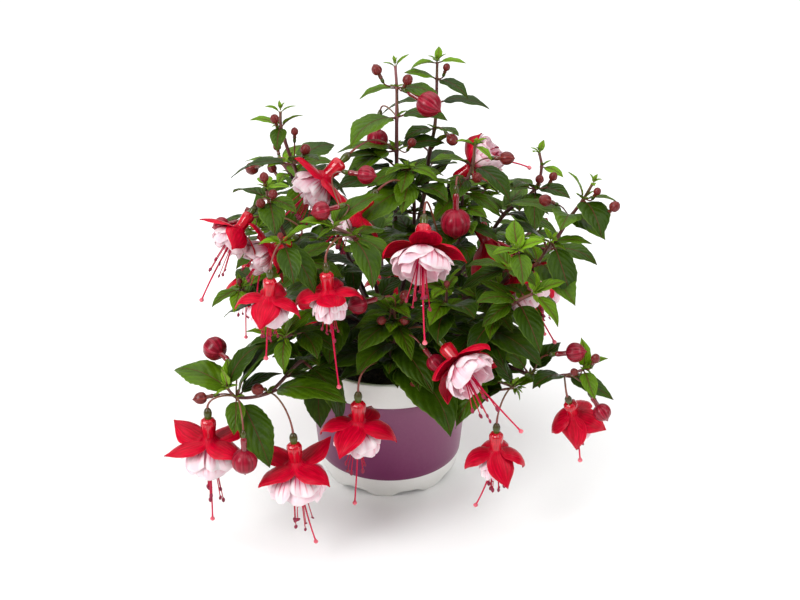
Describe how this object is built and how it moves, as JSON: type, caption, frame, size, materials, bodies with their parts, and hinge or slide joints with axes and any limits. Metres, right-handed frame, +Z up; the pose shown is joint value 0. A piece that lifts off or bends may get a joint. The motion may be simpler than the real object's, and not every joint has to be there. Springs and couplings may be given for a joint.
{
  "type": "potted fuchsia",
  "caption": "Bushy fuchsia in a small round plastic nursery pot, with drooping red and white double flowers, round red buds and arching green leaves.",
  "frame": {"origin": "on the surface that the pot stands on, at the middle of the plant's outline, which is the pot's axis", "axes": "+Z up along the pot's axis, -Y towards the side that the picture shows, +X to the right in the picture"},
  "size_m": [0.29, 0.2793, 0.3051],
  "materials": {
    "pot_plastic": "white moulded plastic with a soft shine",
    "label_print": "plum printed film, bare of any text",
    "potting_soil": "dark, damp peaty potting soil with fibres",
    "old_wood": "flaking brown bark",
    "green_shoot": "thin waxy leaves with sunken veins, on red-brown stems",
    "petals": "waxy crimson sepals and tube over crumpled pink-white petals"
  },
  "bodies": {
    "root": {"pot": "pot_plastic", "label_band": "label_print", "soil": "potting_soil", "woody_crown": "old_wood", "shoot_top_centre": "green_shoot", "shoot_top_right": "green_shoot", "shoot_upper_left": "green_shoot", "shoot_left_high": "green_shoot", "shoot_left_mid": "green_shoot", "shoot_left_low": "green_shoot", "shoot_front_left": "green_shoot", "shoot_lower_left": "green_shoot", "shoot_front_centre": "green_shoot", "shoot_centre_left": "green_shoot", "shoot_centre_high": "green_shoot", "shoot_front_right": "green_shoot", "shoot_centre_right": "green_shoot", "shoot_right_inner": "green_shoot", "shoot_right_high": "green_shoot", "shoot_right_tip": "green_shoot", "shoot_right_mid": "green_shoot", "shoot_right_low": "green_shoot", "shoot_lower_right": "green_shoot", "shoot_low_right_inner": "green_shoot", "shoot_back_left_high": "green_shoot", "shoot_back_left": "green_shoot", "shoot_back_low_left": "green_shoot", "shoot_back": "green_shoot", "shoot_back_low_right": "green_shoot", "shoot_back_right": "green_shoot", "shoot_back_right_high": "green_shoot", "flower_left_low": "petals", "flower_front_left": "petals", "flower_front": "petals", "flower_front_right": "petals", "flower_right_low": "petals", "flower_left_mid": "petals", "flower_centre_left": "petals", "flower_centre": "petals", "flower_side": "petals", "flower_top_right": "petals", "flower_left_high": "petals", "flower_left_back": "petals", "flower_upper_left": "petals", "flower_upper_back": "petals", "flower_right_mid": "petals", "flower_inner_right": "petals", "flower_back_left": "petals", "flower_back": "petals", "flower_back_right": "petals", "flower_back_low": "petals"}
  },
  "joints": []
}
